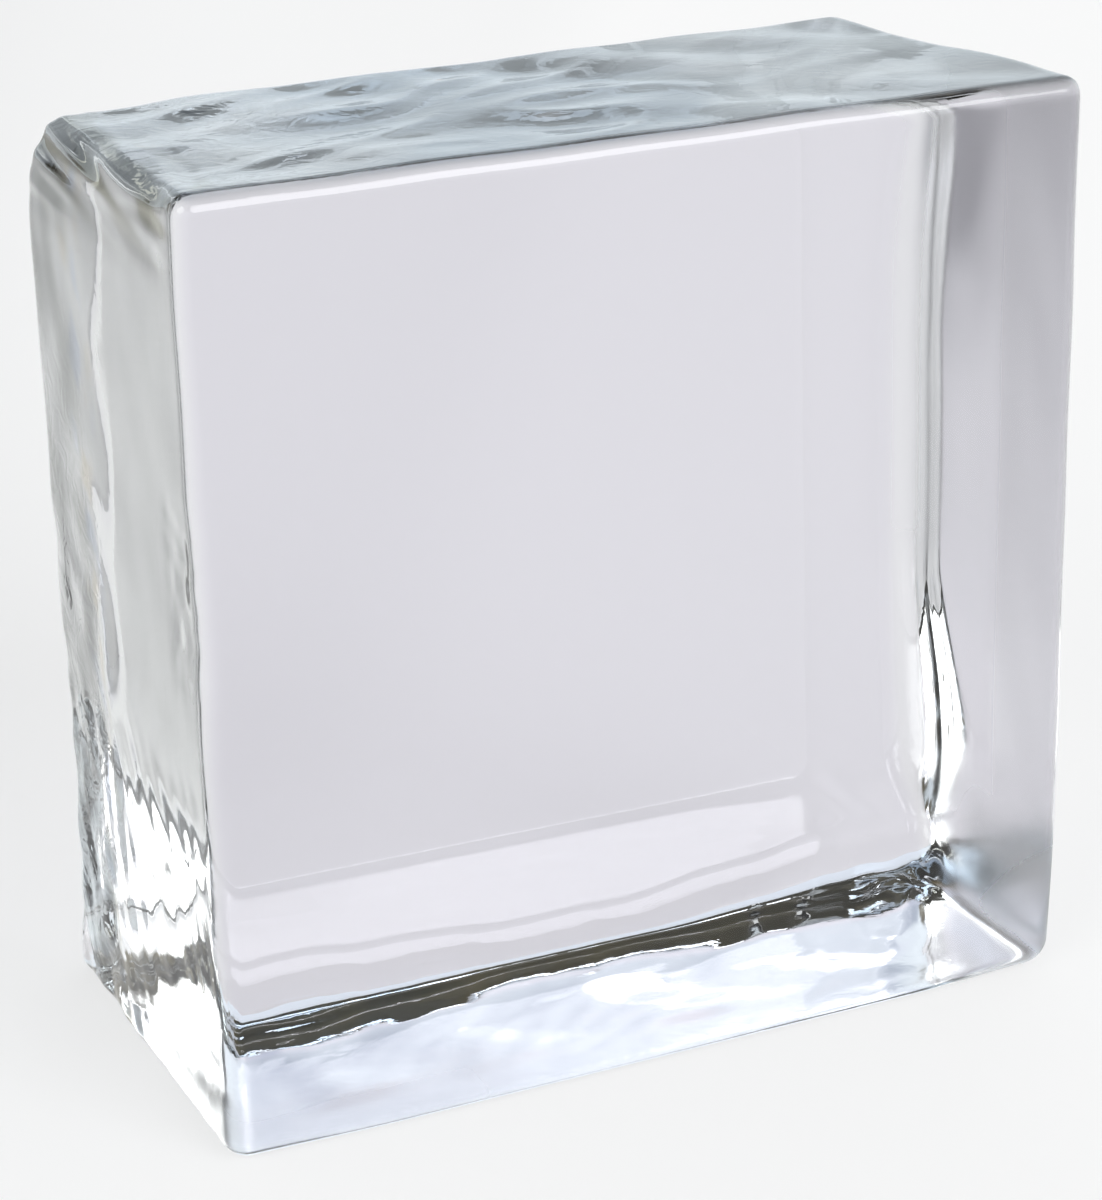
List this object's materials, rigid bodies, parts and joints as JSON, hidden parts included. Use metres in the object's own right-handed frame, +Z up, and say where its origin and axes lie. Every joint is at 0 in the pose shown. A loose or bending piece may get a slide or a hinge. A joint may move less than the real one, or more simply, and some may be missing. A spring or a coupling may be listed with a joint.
{
  "type": "glass block",
  "caption": "Solid clear cast glass building block with a polished square face, wavy mould-chilled sides and rounded edges, standing on its narrow side.",
  "frame": {"origin": "on the floor plane, at the middle of the footprint", "axes": "+Z up, +X along the width, -Y out of the fire-polished front face"},
  "size_m": [0.1906, 0.098, 0.1962],
  "materials": {
    "clear_glass": "clear, fire-polished front, low chill waves on the sides"
  },
  "bodies": {
    "root": {"glass_block": "clear_glass"}
  },
  "joints": []
}
